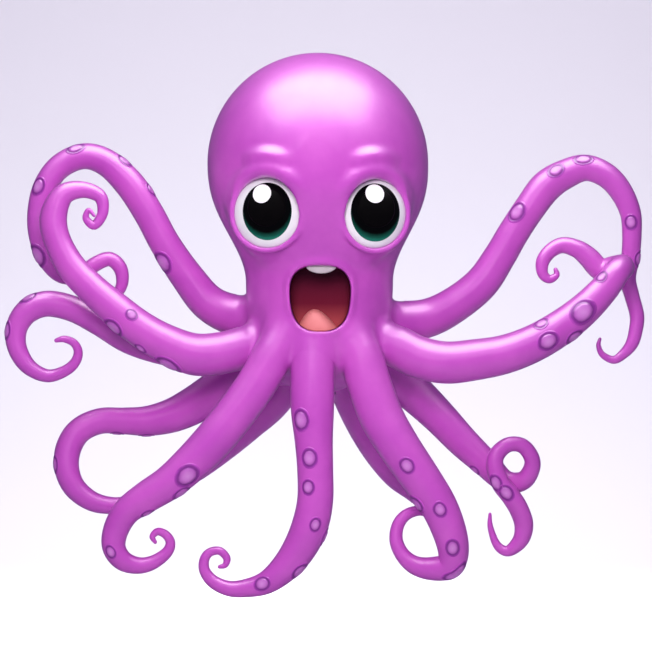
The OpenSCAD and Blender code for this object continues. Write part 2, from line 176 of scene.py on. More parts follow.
def coatedNylon(name, light, deep, roughness=0.42, coat=1.0):
    # TPU-coated nylon: the film over the cloth gives a satin gloss, the cloth under it a faint uneven tone.
    # The real ripstop squares are 5 mm; they are drawn at 14 mm, or they would be too fine to show.
    ripstop, cloudSize, slackSize = 0.014, 0.22, 0.05
    material, tree = newMaterial(name)
    place = addNode(tree, "ShaderNodeTexCoord")
    cloud = addNode(tree, "ShaderNodeTexNoise", {"Scale": 1 / cloudSize, "Detail": 4.0, "Roughness": 0.6},
                    {"Vector": place.outputs["Object"]})
    tone = addNode(tree, "ShaderNodeValToRGB", links={"Fac": cloud.outputs["Fac"]})
    tone.color_ramp.elements[0].position, tone.color_ramp.elements[0].color = 0.30, toLinear(deep)
    tone.color_ramp.elements[1].position, tone.color_ramp.elements[1].color = 0.66, toLinear(light)
    split = addNode(tree, "ShaderNodeSeparateXYZ", links={"Vector": place.outputs["Object"]})
    threads = None
    for axis in "XYZ":
        saw = addNode(tree, "ShaderNodeMath", {"operation": "PINGPONG", 1: ripstop / 2},
                      {0: split.outputs[axis]})
        line = addNode(tree, "ShaderNodeMapRange", {"From Max": 0.0009, "To Min": 1.0, "To Max": 0.0},
                       {"Value": saw.outputs[0]})
        threads = line if threads is None else addNode(
            tree, "ShaderNodeMath", {"operation": "MAXIMUM"}, {0: threads.outputs[0], 1: line.outputs[0]})
    slack = addNode(tree, "ShaderNodeTexNoise", {"Scale": 1 / slackSize, "Detail": 3.0, "Roughness": 0.45},
                    {"Vector": place.outputs["Object"]})
    weaveBump = addNode(tree, "ShaderNodeBump", {"Strength": 0.05, "Distance": 0.001},
                        {"Height": threads.outputs[0]})
    slackBump = addNode(tree, "ShaderNodeBump", {"Strength": 0.12, "Distance": 0.006},
                        {"Height": slack.outputs["Fac"], "Normal": weaveBump.outputs[0]})
    gloss = addNode(tree, "ShaderNodeMapRange", {"To Min": roughness - 0.05, "To Max": roughness + 0.07},
                    {"Value": slack.outputs["Fac"]})
    shader = addNode(tree, "ShaderNodeBsdfPrincipled",
                     {"IOR": 1.5, "Specular IOR Level": 0.5, "Coat Weight": coat, "Coat Roughness": 0.34},
                     {"Base Color": tone.outputs["Color"], "Roughness": gloss.outputs[0],
                      "Normal": slackBump.outputs[0]})
    finishMaterial(tree, shader)
    return material


def cupVinyl():
    # Soft moulded vinyl cup: a paler pad, ringed by painted shade in the sunk groove round it; "dish" runs
    # from 0 at the middle to 1 at the edge
    material, tree = newMaterial("moulded_vinyl_cup_painted_groove_shade")
    dish = addNode(tree, "ShaderNodeAttribute", {"attribute_name": "dish"})
    place = addNode(tree, "ShaderNodeTexCoord")
    mottle = addNode(tree, "ShaderNodeTexNoise", {"Scale": 1 / 0.02, "Detail": 3.0},
                     {"Vector": place.outputs["Object"]})
    wobble = addNode(tree, "ShaderNodeMath", {"operation": "MULTIPLY_ADD", 1: 0.16, 2: -0.08},
                     {0: mottle.outputs["Fac"]})
    along = addNode(tree, "ShaderNodeMath", {"operation": "ADD"},
                    {0: dish.outputs["Fac"], 1: wobble.outputs[0]})
    tone = addNode(tree, "ShaderNodeValToRGB", links={"Fac": along.outputs[0]})
    ramp = tone.color_ramp
    ramp.elements[0].position, ramp.elements[0].color = 0.0, toLinear("#c583c8")
    ramp.elements[1].position, ramp.elements[1].color = 1.0, toLinear("#bb4cbc")
    # painted shade: the dark stops at 0.68 and 0.82 darken the sunk groove and its rising wall
    for spot, colour in ((0.34, "#bd70c0"), (0.56, "#ab58b0"), (0.68, "#74267f"), (0.82, "#862f90")):
        stop = ramp.elements.new(spot)
        stop.color = toLinear(colour)
    bump = addNode(tree, "ShaderNodeBump", {"Strength": 0.2, "Distance": 0.002},
                   {"Height": mottle.outputs["Fac"]})
    shader = addNode(tree, "ShaderNodeBsdfPrincipled", {"Roughness": 0.34, "IOR": 1.52, "Coat Weight": 0.15},
                     {"Base Color": tone.outputs["Color"], "Normal": bump.outputs[0]})
    finishMaterial(tree, shader)
    return material


def glossFilm(name, colour, other, roughness=0.22, grain=0.03, specular=0.5):
    # Printed gloss vinyl film: hard mirror-like highlights with a slight ripple
    material, tree = newMaterial(name)
    place = addNode(tree, "ShaderNodeTexCoord")
    ripple = addNode(tree, "ShaderNodeTexNoise", {"Scale": 1 / grain, "Detail": 2.0},
                     {"Vector": place.outputs["Object"]})
    tone = addNode(tree, "ShaderNodeMix", {"data_type": "RGBA", "A": toLinear(colour), "B": toLinear(other)},
                   {"Factor": ripple.outputs["Fac"]})
    bump = addNode(tree, "ShaderNodeBump", {"Strength": 0.05, "Distance": 0.002},
                   {"Height": ripple.outputs["Fac"]})
    shader = addNode(tree, "ShaderNodeBsdfPrincipled",
                     {"Roughness": roughness, "IOR": 1.5, "Specular IOR Level": specular},
                     {"Base Color": tone.outputs[2], "Normal": bump.outputs[0]})
    finishMaterial(tree, shader)
    return material


def irisFilm():
    # Green printed film that fades to black under the pupil; "fade" is 0 in the black and 1 at the lower edge
    material, tree = newMaterial("printed_iris_film")
    fade = addNode(tree, "ShaderNodeAttribute", {"attribute_name": "fade"})
    place = addNode(tree, "ShaderNodeTexCoord")
    fleck = addNode(tree, "ShaderNodeTexNoise", {"Scale": 1 / 0.012, "Detail": 4.0},
                    {"Vector": place.outputs["Object"]})
    shift = addNode(tree, "ShaderNodeMath", {"operation": "MULTIPLY_ADD", 1: 0.12, 2: -0.06},
                    {0: fleck.outputs["Fac"]})
    along = addNode(tree, "ShaderNodeMath", {"operation": "ADD"},
                    {0: fade.outputs["Fac"], 1: shift.outputs[0]})
    tone = addNode(tree, "ShaderNodeValToRGB", links={"Fac": along.outputs[0]})
    ramp = tone.color_ramp
    ramp.elements[0].position, ramp.elements[0].color = 0.05, toLinear("#030404")
    ramp.elements[1].position, ramp.elements[1].color = 1.0, toLinear("#23826a")
    middle = ramp.elements.new(0.55)
    middle.color = toLinear("#0f4f40")
    shader = addNode(tree, "ShaderNodeBsdfPrincipled",
                     {"Roughness": 0.35, "IOR": 1.5, "Specular IOR Level": 0.08},
                     {"Base Color": tone.outputs["Color"]})
    finishMaterial(tree, shader)
    return material


def mouthCloth():
    # Coated nylon lining, matt side out, with painted shade: drawn nearly black towards the top of the mouth
    # and red-brown low in the mouth, where light reaches it
    material, tree = newMaterial("matt_mouth_lining_painted_shade")
    place = addNode(tree, "ShaderNodeTexCoord")
    split = addNode(tree, "ShaderNodeSeparateXYZ", links={"Vector": place.outputs["Object"]})
    # painted shade: the colour follows height, darker towards the top of the mouth
    height = addNode(tree, "ShaderNodeMapRange", {"From Min": 0.30, "From Max": 0.50},
                     {"Value": split.outputs["Z"]})
    tone = addNode(tree, "ShaderNodeValToRGB", links={"Fac": height.outputs[0]})
    ramp = tone.color_ramp
    ramp.elements[0].position, ramp.elements[0].color = 0.0, toLinear("#b04a50")
    ramp.elements[1].position, ramp.elements[1].color = 1.0, toLinear("#3d0a22")
    middle = ramp.elements.new(0.45)
    middle.color = toLinear("#68192f")
    weave = addNode(tree, "ShaderNodeTexNoise", {"Scale": 1 / 0.006, "Detail": 2.0},
                    {"Vector": place.outputs["Object"]})
    bump = addNode(tree, "ShaderNodeBump", {"Strength": 0.2, "Distance": 0.001},
                   {"Height": weave.outputs["Fac"]})
    shader = addNode(tree, "ShaderNodeBsdfPrincipled", {"Roughness": 0.75, "Specular IOR Level": 0.15},
                     {"Base Color": tone.outputs["Color"], "Normal": bump.outputs[0]})
    finishMaterial(tree, shader)
    return material


def wovenWebbing():
    # Nylon webbing: ribs 2 mm apart, drawn at 4 mm, with a dry, dull face
    material, tree = newMaterial("woven_nylon_webbing")
    place = addNode(tree, "ShaderNodeTexCoord")
    ribPitch, waveTurn = 0.004, 6.28     # a wave texture counts its bands in radians
    ribs = addNode(tree, "ShaderNodeTexWave",
                   {"Scale": 1 / ribPitch / waveTurn, "Distortion": 0.6, "bands_direction": "Z"},
                   {"Vector": place.outputs["Object"]})
    tone = addNode(tree, "ShaderNodeMix",
                   {"data_type": "RGBA", "A": toLinear("#5a2468"), "B": toLinear("#8a3f9a")},
                   {"Factor": ribs.outputs["Fac"]})
    bump = addNode(tree, "ShaderNodeBump", {"Strength": 0.5, "Distance": 0.001},
                   {"Height": ribs.outputs["Fac"]})
    shader = addNode(tree, "ShaderNodeBsdfPrincipled", {"Roughness": 0.75, "Sheen Weight": 0.2},
                     {"Base Color": tone.outputs[2], "Normal": bump.outputs[0]})
    finishMaterial(tree, shader)
    return material


def nickelPlate(name, colour, roughness):
    # Bright nickel plate, with the fine scratches that clips leave
    material, tree = newMaterial(name)
    place = addNode(tree, "ShaderNodeTexCoord")
    scratch = addNode(tree, "ShaderNodeTexNoise", {"Scale": 1 / 0.003, "Detail": 5.0},
                      {"Vector": place.outputs["Object"]})
    gloss = addNode(tree, "ShaderNodeMapRange", {"To Min": roughness - 0.08, "To Max": roughness + 0.12},
                    {"Value": scratch.outputs["Fac"]})
    shader = addNode(tree, "ShaderNodeBsdfPrincipled", {"Base Color": toLinear(colour), "Metallic": 1.0},
                     {"Roughness": gloss.outputs[0]})
    finishMaterial(tree, shader)
    return material


def mouldedTpu(name, colour):
    # Moulded TPU: an even satin face with the mould's fine spark-eroded grain
    material, tree = newMaterial(name)
    place = addNode(tree, "ShaderNodeTexCoord")
    grain = addNode(tree, "ShaderNodeTexNoise", {"Scale": 1 / 0.0015, "Detail": 2.0},
                    {"Vector": place.outputs["Object"]})
    bump = addNode(tree, "ShaderNodeBump", {"Strength": 0.25, "Distance": 0.0004},
                   {"Height": grain.outputs["Fac"]})
    gloss = addNode(tree, "ShaderNodeMapRange", {"To Min": 0.38, "To Max": 0.52},
                    {"Value": grain.outputs["Fac"]})
    shader = addNode(tree, "ShaderNodeBsdfPrincipled", {"Base Color": toLinear(colour), "IOR": 1.5},
                     {"Roughness": gloss.outputs[0], "Normal": bump.outputs[0]})
    finishMaterial(tree, shader)
    return material


purpleNylon = coatedNylon("coated_nylon_purple", "#c252bd", "#b343b2")
tongueNylon = coatedNylon("coated_nylon_salmon", "#d97c7c", "#cb7070", roughness=0.5, coat=0.1)
cupMaterial = cupVinyl()
eyeVinyl = glossFilm("gloss_vinyl_white", "#e6e8e6", "#dadfe0")
pupilVinyl = glossFilm("satin_vinyl_black", "#030303", "#060505", roughness=0.35, specular=0.08)
# the bright white film is a painted catchlight: a lamp's reflection on each eye, given as a white disc
paintedCatchlightVinyl = glossFilm("gloss_vinyl_bright_white", "#ffffff", "#f6fbf9", roughness=0.3)
toothVinyl = glossFilm("gloss_vinyl_ivory", "#bdb6b9", "#aca5a8", roughness=0.25)
irisMaterial = irisFilm()
liningMaterial = mouthCloth()
webbingMaterial = wovenWebbing()
print("materials")

# ---------- meshes ----------


def addMesh(name, verts, faces, material, attributes=None, smooth=True):
    mesh = bpy.data.meshes.new(name)
    mesh.from_pydata([tuple(v) for v in verts], [], [tuple(f) for f in faces])
    for face in mesh.polygons:
        face.use_smooth = smooth
    for key, values in (attributes or {}).items():
        mesh.attributes.new(key, "FLOAT", "POINT").data.foreach_set("value", np.asarray(values, np.float32))
    mesh.materials.append(material)
    piece = bpy.data.objects.new(name, mesh)
    bpy.context.scene.collection.objects.link(piece)
    return piece


def applyModifiers(piece):
    graph = bpy.context.evaluated_depsgraph_get()
    baked = bpy.data.meshes.new_from_object(piece.evaluated_get(graph))
    piece.modifiers.clear()
    piece.data = baked


def fieldToMesh(field, corner, step):
    # A smooth quad skin where the field crosses zero: one point in each crossed cell, and one quad
    # round each crossed edge
    inside = field < 0
    cells = np.zeros([n - 1 for n in field.shape], bool)
    corners = [(i, j, k) for i in (0, 1) for j in (0, 1) for k in (0, 1)]
    part = lambda a, i, j, k: a[i:a.shape[0] - 1 + i, j:a.shape[1] - 1 + j, k:a.shape[2] - 1 + k]
    first = part(inside, 0, 0, 0)
    for offset in corners[1:]:
        cells |= part(inside, *offset) != first
    where = np.argwhere(cells)
    number = -np.ones(cells.shape, np.int64)
    number[tuple(where.T)] = np.arange(len(where))
    total = np.zeros((len(where), 3))
    count = np.zeros((len(where), 1))
    for a in corners:
        for axis in range(3):
            if a[axis]:
                continue
            b = tuple(1 if i == axis else v for i, v in enumerate(a))
            va = field[tuple((where + a).T)]
            vb = field[tuple((where + b).T)]
            crossed = (va < 0) != (vb < 0)
            t = np.where(crossed, va / np.where(crossed, va - vb, 1), 0)
            point = np.array(a, float) + t[:, None] * (np.array(b) - np.array(a))
            total += point * crossed[:, None]
            count += crossed[:, None]
    verts = (where + total / count) * step + corner
    faces = []
    for axis in range(3):
        u, v = [(1, 2), (2, 0), (0, 1)][axis]
        ahead = np.moveaxis(inside, axis, 0)
        changed = np.argwhere(ahead[:-1] != ahead[1:])
        edge = np.zeros_like(changed)
        order = [axis] + [i for i in range(3) if i != axis]
        for i, target in enumerate(order):
            edge[:, target] = changed[:, i]
        keep = ((edge[:, u] > 0) & (edge[:, v] > 0)
                & (edge[:, u] < cells.shape[u]) & (edge[:, v] < cells.shape[v]))
        edge = edge[keep]
        ring = []
        for du, dv in ((-1, -1), (0, -1), (0, 0), (-1, 0)):
            near = edge.copy()
            near[:, u] += du
            near[:, v] += dv
            ring.append(number[tuple(near.T)])
        quad = np.stack(ring, 1)
        out = inside[tuple(edge.T)]
        faces.append(np.where(out[:, None], quad, quad[:, ::-1]))
    return verts, np.concatenate(faces)


# ---------- arms: the same routes as the CAD model, in millimetres ----------

armShapes = {
    "upper_left": {"root": 2, "bend": 6, "route": [
        [-150, 40, 340, 73], [-295, 105, 345, 77], [-405, 120, 390, 69], [-490, 120, 490, 62],
        [-570, 110, 610, 57], [-630, 105, 722, 56], [-700, 100, 830, 56], [-785, 95, 910, 51],
        [-870, 90, 935, 48], [-955, 90, 900, 46], [-1010, 85, 830, 44], [-1035, 85, 745, 42],
        [-1035, 80, 655, 41], [-1010, 80, 565, 37], [-955, 80, 500, 33], [-885, 80, 495, 30],
        [-830, 80, 535, 28], [-775, 85, 555, 27], [-735, 85, 520, 26], [-730, 85, 460, 22],
        [-765, 90, 410, 17], [-810, 90, 405, 10]],
        "cups": [[3.65, -50, 42], [5.55, 72, 26], [6.6, 66, 28], [8.25, 46, 28], [10.2, 30, 30],
                 [12.85, 50, 40]]},
    "middle_left": {"root": 2, "bend": 5, "route": [
        [-145, -50, 275, 73], [-260, -95, 235, 77], [-355, -110, 210, 77], [-455, -120, 205, 77],
        [-560, -120, 245, 70], [-655, -115, 300, 66], [-750, -110, 375, 62], [-830, -105, 445, 57],
        [-905, -100, 525, 54], [-955, -95, 620, 50], [-970, -90, 705, 50], [-935, -90, 785, 40],
        [-865, -90, 805, 31], [-800, -95, 780, 25], [-790, -100, 720, 20], [-820, -105, 675, 17],
        [-850, -110, 700, 13], [-840, -115, 730, 9], [-820, -120, 710, 6]],
        "cups": [[3.65, -70, 46], [4.6, -62, 22], [5.4, 22, 24], [5.6, -62, 40]]},
    "low_left": {"root": 2, "bend": 4, "route": [
        [-175, 40, 215, 48], [-310, 60, 200, 50], [-440, 60, 195, 52], [-570, 55, 215, 52],
        [-700, 45, 255, 50], [-810, 40, 320, 48], [-905, 35, 370, 48], [-1000, 30, 390, 48],
        [-1070, 25, 365, 46], [-1110, 20, 310, 41], [-1115, 15, 245, 37], [-1090, 10, 185, 33],
        [-1050, 5, 145, 28], [-995, 5, 125, 24], [-940, 0, 140, 21], [-900, -5, 170, 19],
        [-885, -5, 210, 17], [-900, -10, 245, 15], [-935, -10, 260, 13], [-965, -10, 255, 8]],
        "cups": [[7.7, 64, 27], [9.4, 60, 27]]},
    "back_left": {"root": 2, "bend": 4, "route": [
        [-125, 110, 165, 74], [-260, 180, 140, 78], [-370, 205, 75, 76], [-465, 205, 15, 71],
        [-550, 200, -25, 64], [-640, 190, -45, 56], [-725, 175, -45, 50], [-815, 160, -45, 48],
        [-890, 145, -80, 48], [-930, 130, -145, 48], [-935, 115, -220, 46], [-905, 105, -290, 42],
        [-840, 100, -340, 37], [-765, 100, -355, 31], [-695, 105, -340, 24], [-625, 110, -305, 14]],
        "cups": [[5.1, -80, 24], [6.3, -80, 24], [9.8, 66, 26]]},
    "front_left": {"root": 2, "bend": 5, "route": [
        [-105, -150, 325, 73], [-160, -190, 220, 74], [-220, -205, 110, 73], [-290, -215, 10, 73],
        [-370, -220, -90, 73], [-455, -220, -180, 69], [-540, -215, -255, 63], [-625, -205, -310, 58],
        [-695, -195, -360, 51], [-735, -185, -425, 47], [-745, -180, -490, 43], [-715, -175, -540, 38],
        [-660, -170, -560, 31], [-605, -170, -550, 26], [-555, -170, -515, 21], [-540, -170, -480, 18],
        [-555, -175, -450, 16], [-585, -175, -437, 14], [-605, -180, -455, 11], [-595, -180, -475, 7]],
        "cups": [[5.4, -22, 44], [5.9, -66, 32], [7.3, -70, 26], [10.2, 20, 22]]},
    "front_centre": {"root": 2, "bend": 4, "route": [
        [-20, -140, 310, 76], [-25, -190, 220, 80], [-25, -215, 115, 80], [-25, -230, 5, 78],
        [-20, -240, -105, 69], [-15, -245, -210, 65], [-15, -245, -320, 65], [-35, -240, -415, 66],
        [-75, -230, -500, 61], [-130, -225, -570, 52], [-195, -220, -620, 42], [-270, -215, -640, 33],
        [-330, -215, -640, 28], [-385, -210, -615, 24], [-415, -210, -575, 20], [-415, -210, -535, 18],
        [-395, -210, -510, 16], [-360, -215, -505, 15], [-335, -215, -530, 14], [-340, -218, -555, 11],
        [-360, -220, -562, 7]],
        "cups": [[3.35, 35, 38], [4.6, 17, 34], [5.55, 25, 28], [6.8, -15, 24], [7.15, -80, 28],
                  [8.6, -60, 32], [10.1, 6, 30]]},
    "front_right": {"root": 2, "bend": 4, "route": [
        [95, -150, 310, 73], [145, -185, 215, 78], [180, -200, 100, 80], [225, -210, -20, 80],
        [290, -220, -130, 76], [365, -220, -240, 72], [430, -220, -340, 67], [470, -215, -435, 62],
        [485, -200, -510, 56], [470, -185, -560, 49], [410, -165, -572, 43], [350, -150, -562, 35],
        [305, -140, -527, 28], [280, -130, -475, 25], [285, -120, -420, 23], [315, -115, -380, 21],
        [365, -110, -365, 18], [415, -110, -385, 12]],
        "cups": [[4.5, 12, 30], [5.6, 72, 38], [6.1, 2, 28], [7.55, 4, 30], [8.9, -50, 30]]},
    "back_right": {"root": 2, "bend": 4, "route": [
        [130, 110, 165, 70], [245, 155, 140, 74], [345, 170, 65, 72], [440, 160, -25, 65],
        [530, 145, -120, 59], [610, 125, -195, 52], [685, 100, -265, 42], [755, 70, -260, 35],
        [785, 50, -195, 30], [750, 35, -135, 28], [690, 20, -130, 28], [645, 5, -180, 31],
        [660, 0, -260, 34], [705, 5, -320, 36], [735, 20, -370, 36], [752, 35, -425, 35],
        [740, 40, -480, 30], [695, 45, -520, 21], [655, 50, -500, 16], [630, 50, -435, 11],
        [628, 50, -385, 6]],
        "cups": [[5.0, 66, 24], [12.0, 30, 28], [12.6, 10, 30]]},
    "middle_right": {"root": 2, "bend": 6, "route": [
        [150, -50, 275, 73], [265, -95, 240, 77], [360, -110, 195, 77], [460, -120, 175, 77],
        [565, -120, 185, 75], [675, -120, 205, 71], [780, -120, 245, 68], [875, -115, 300, 65],
        [960, -110, 365, 60], [1035, -100, 440, 54], [1085, -90, 505, 48], [1108, -40, 525, 45],
        [1078, 15, 522, 43], [1034, 30, 515, 41], [990, 30, 560, 39], [950, 25, 590, 34],
        [895, 20, 605, 30], [850, 15, 585, 27], [820, 10, 545, 25], [820, 5, 500, 20],
        [845, 5, 480, 16], [870, 5, 495, 12], [867, 5, 515, 8]],
        "cups": [[6.4, 14, 38], [6.5, -52, 30], [7.2, 62, 34], [7.9, 2, 48], [9.3, -46, 26]]},
    "upper_right": {"root": 2, "bend": 6, "route": [
        [155, 40, 330, 73], [290, 105, 325, 76], [402, 130, 338, 72], [505, 130, 390, 67],
        [600, 130, 467, 64], [665, 130, 562, 60], [720, 125, 656, 58], [780, 120, 747, 58],
        [840, 120, 825, 60], [910, 115, 870, 55], [985, 110, 893, 49], [1060, 105, 865, 46],
        [1115, 105, 805, 43], [1150, 105, 725, 39], [1155, 105, 640, 36], [1150, 110, 560, 34],
        [1140, 110, 485, 31], [1155, 105, 420, 28], [1173, 100, 350, 27], [1170, 95, 300, 26],
        [1155, 90, 245, 24], [1125, 90, 207, 19], [1087, 85, 183, 15], [1045, 80, 202, 12],
        [1030, 80, 235, 9], [1035, 80, 260, 6]],
        "cups": [[6.6, -36, 38], [8.7, -30, 30], [9.9, -40, 28], [13.4, 10, 28], [15.0, -66, 30]]},
    "rear_left": {"root": 2, "bend": 4, "route": [
        [-70, 150, 220, 62], [-105, 225, 120, 62], [-175, 250, 20, 62], [-265, 255, -60, 60],
        [-355, 245, -140, 54], [-440, 240, -215, 43], [-505, 240, -265, 33], [-555, 265, -295, 24],
        [-585, 295, -300, 18], [-590, 320, -280, 13], [-570, 335, -262, 8]],
        "cups": []},
    "rear_right": {"root": 2, "bend": 4, "route": [
        [60, 150, 220, 62], [95, 210, 100, 66], [150, 235, -25, 67], [215, 240, -145, 62],
        [285, 230, -245, 52], [350, 220, -305, 41], [405, 230, -360, 31], [430, 250, -400, 23],
        [435, 280, -420, 17], [415, 305, -410, 12], [390, 320, -385, 8]],
        "cups": []},
}

armSkin = {
    "sides": 40,
    "ringStep": 0.009,
    "jointHalf": 0.045,    # half of the soft stretch at a bend
    "overlap": 0.085,      # the arm's skin starts this far before its root bend
    "underlap": 0.012,     # one skin runs this far under the next
    "tuck": 0.0006,        # and is this much thinner there
}


def splinePoint(route, i, t):
    last = len(route) - 1
    a, b, c, d = (route[min(max(k, 0), last)] for k in (i - 1, i, i + 1, i + 2))
    return 0.5 * (2 * b + (c - a) * t + (2 * a - 5 * b + 4 * c - d) * t * t
                  + (3 * b - a - 3 * c + d) * t ** 3)


def unit(v):
    return v / np.linalg.norm(v, axis=-1, keepdims=True)


class Arm:
    # One arm's middle line, measured along its length
    def __init__(self, name, shape):
        self.name = name
        route = np.array(shape["route"], float) / 1000
        fine = 24
        rows = [splinePoint(route, i, k / fine)
                for i in range(len(route) - 1) for k in range(fine)] + [route[-1]]
        self.rows = np.array(rows)
        gaps = np.linalg.norm(np.diff(self.rows[:, :3], axis=0), axis=1)
        self.run = np.concatenate([[0], np.cumsum(gaps)])
        self.length = self.run[-1]
        self.atIndex = lambda i: float(np.interp(i * fine, np.arange(len(self.run)), self.run))
        self.root = self.atIndex(shape["root"])
        self.bend = self.atIndex(shape["bend"])
        self.bendIndex = shape["bend"]
        self.cups = shape["cups"]

    def sample(self, run):
        return np.stack([np.interp(run, self.run, self.rows[:, k]) for k in range(4)], -1)

    def heading(self, run, reach=0.006):
        ahead = self.sample(np.minimum(np.asarray(run) + reach, self.length))
        behind = self.sample(np.maximum(np.asarray(run) - reach, 0))
        return unit((ahead - behind)[..., :3])

    def frames(self, runs):
        # A side vector carried along without twist
        headings = self.heading(runs)
        side, sides = np.array([0.0, 1.0, 0.0]), []
        for d in headings:
            side = unit(side - side @ d * d)
            sides.append(side)
        sides = np.array(sides)
        return sides, np.cross(headings, sides)


def ringRuns(arm, start, stop):
    # Ring spacing shrinks with the tube, so that the small curls stay round
    runs, here = [], start
    while here < stop:
        runs.append(here)
        radius = arm.sample(here)[3]
        here += armSkin["ringStep"] * min(1.0, max(0.3, radius / 0.03))
    return np.array(runs + [stop])


def tubeMesh(centres, sides, ups, radii, closeEnd, headings):
    count = armSkin["sides"]
    turn = np.arange(count) / count * 2 * math.pi
    rings = (centres[:, None] + radii[:, None, None] * (np.cos(turn)[None, :, None] * sides[:, None]
                                                        + np.sin(turn)[None, :, None] * ups[:, None]))
    verts = list(rings.reshape(-1, 3))
    faces = []
    for i in range(len(centres) - 1):
        for k in range(count):
            a, b = i * count + k, i * count + (k + 1) % count
            faces.append((a, b, b + count, a + count))
    if closeEnd:
        # a round tip
        for a in (30, 60, 80):
            angle = math.radians(a)
            centre = centres[-1] + headings[-1] * radii[-1] * math.sin(angle)
            verts += [centre + radii[-1] * math.cos(angle) * (math.cos(t) * sides[-1] + math.sin(t) * ups[-1])
                      for t in turn]
        verts.append(centres[-1] + headings[-1] * radii[-1])
        start = (len(centres) - 1) * count
        for i in range(3):
            for k in range(count):
                a, b = start + i * count + k, start + i * count + (k + 1) % count
                faces.append((a, b, b + count, a + count))
        start += 3 * count
        faces += [(start + k, start + (k + 1) % count, len(verts) - 1) for k in range(count)]
    return verts, faces


def addArmSkins(arm):
    half = armSkin["jointHalf"]
    middle = (arm.root + arm.bend) / 2
    cut = arm.bend + half + 0.03
    spans = [("root_skin", arm.root - armSkin["overlap"], middle, arm.root),
             ("bend_skin", middle, cut, arm.bend),
             ("end_skin", cut, arm.length, None)]
    bodies = ["body", arm.name + "_base", arm.name + "_end"]
    for number, (label, start, stop, pivot) in enumerate(spans):
        lead = armSkin["underlap"] if number else 0
        runs = ringRuns(arm, start - lead, stop)
        sides, ups = arm.frames(runs)
        rows, headings = arm.sample(runs), arm.heading(runs)
        tuck = armSkin["tuck"] * np.clip((start - runs) / armSkin["underlap"] * 3, 0, 1)
        verts, faces = tubeMesh(rows[:, :3], sides, ups, rows[:, 3] - tuck, pivot is None, headings)
        piece = addMesh(arm.name + "_" + label, verts, faces, purpleNylon)
        if number:
            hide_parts(bodies[number])
        if pivot is None:
            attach(piece, bodies[2])
        else:
            centre, along = arm.sample(pivot)[:3], arm.heading(pivot)
            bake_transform(piece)


def addCups(arm, onBase):
    # Each cup is a soft pad in a sunk ring with a low rim, wrapped over the tube that carries it
    rimProfile = [(0.0, 0.115), (0.16, 0.12), (0.30, 0.13), (0.42, 0.13), (0.52, 0.11), (0.59, 0.07),
                  (0.64, 0.03), (0.70, 0.016), (0.77, 0.025), (0.85, 0.05), (0.92, 0.045), (0.98, 0.01),
                  (1.03, -0.06), (1.04, -0.14)]
    stretch = 1.16     # the cups are oval, longer along the arm
    spokes = 40
    verts, faces, dish = [], [], []
    for spot, angle, radius in arm.cups:
        if (spot < arm.bendIndex) != onBase:
            continue
        size = radius / 1000
        middle = arm.atIndex(spot)
        first = len(verts)
        for share, lift in rimProfile:
            for k in range(1 if share == 0 else spokes):
                t = 2 * math.pi * k / spokes
                run = middle + size * share * math.cos(t) * stretch
                row, d = arm.sample(run), arm.heading(run)
                front = unit(np.array([0.0, -1.0, 0.0]) + d[1] * d)
                tilt = math.radians(angle) + size * share * math.sin(t) / row[3]
                out = math.cos(tilt) * front + math.sin(tilt) * np.cross(d, front)
                verts.append(row[:3] + out * (row[3] + lift * size))
                dish.append(share)
        faces += [(first, first + 1 + k, first + 1 + (k + 1) % spokes) for k in range(spokes)]
        for i in range(len(rimProfile) - 2):
            start = first + 1 + i * spokes
            faces += [(start + k, start + spokes + k,
                       start + spokes + (k + 1) % spokes, start + (k + 1) % spokes)
                      for k in range(spokes)]
    if not verts:
        return
    body = arm.name + ("_base" if onBase else "_end")
    piece = addMesh(body + "_cups", verts, faces, cupMaterial, {"dish": dish})
    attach(piece, body)
    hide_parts(body + "_suckers")


arms = [Arm(name, shape) for name, shape in armShapes.items()]
for arm in arms:
    addArmSkins(arm)
    addCups(arm, True)
    addCups(arm, False)
print("arms and suckers")

# ---------- body skin ----------

head = {
    "crownRadius": 0.405, "crownHeight": 0.905, "neckRadius": 0.270, "neckHeight": 0.470,
    "hubRadius": 0.258, "hubHeight": 0.330, "belly": 0.062,
    "lean": 0.006,         # the crown sits this far to one side
    "armFillet": 0.050,    # how softly an arm grows out of the body
}
eyes = {
    # "spark" is where each eye's painted catchlight sits
    "left": {"side": -1, "x": -0.176, "z": 0.716, "half": (0.1205, 0.1248), "dark": (0.0895, 0.1035),
             "inward": 0.005, "spark": (-0.017, 0.066)},
    "right": {"side": 1, "x": 0.1885, "z": 0.712, "half": (0.1125, 0.1225), "dark": (0.0895, 0.1045),
              "inward": -0.003, "spark": (-0.004, 0.070)},
    "y": -0.255, "turn": 12,
    "depth": 0.085,        # how far the ball bulges
    "set": 0.012,
    "rimPlane": 0.052,
}
mouth = {"x": 0.003, "z": 0.4075, "half": (0.1085, 0.118), "square": 2.7, "taper": 0.085, "deep": 0.13}


def softMin(a, b, k):
    h = np.clip(0.5 + 0.5 * (b - a) / k, 0, 1)
    return b + (a - b) * h - k * h * (1 - h)


def softMax(a, b, k):
    return -softMin(-a, -b, k)


def mouthOffset(x, z):
    halfX, halfZ = mouth["half"]
    dz = (z - mouth["z"]) / halfZ
    dx = (x - mouth["x"]) / (halfX * (1 + mouth["taper"] * dz))
    p = mouth["square"]
    return ((np.abs(dx) ** p + np.abs(dz) ** p) ** (1 / p) - 1) * halfX


def eyeAxes(eye):
    turn = math.radians(eyes["turn"]) * eye["side"]
    forward = np.array([math.sin(turn), -math.cos(turn), 0])
    across = np.array([math.cos(turn), math.sin(turn), 0])
    return np.array([eye["x"], eyes["y"], eye["z"]]), across, forward


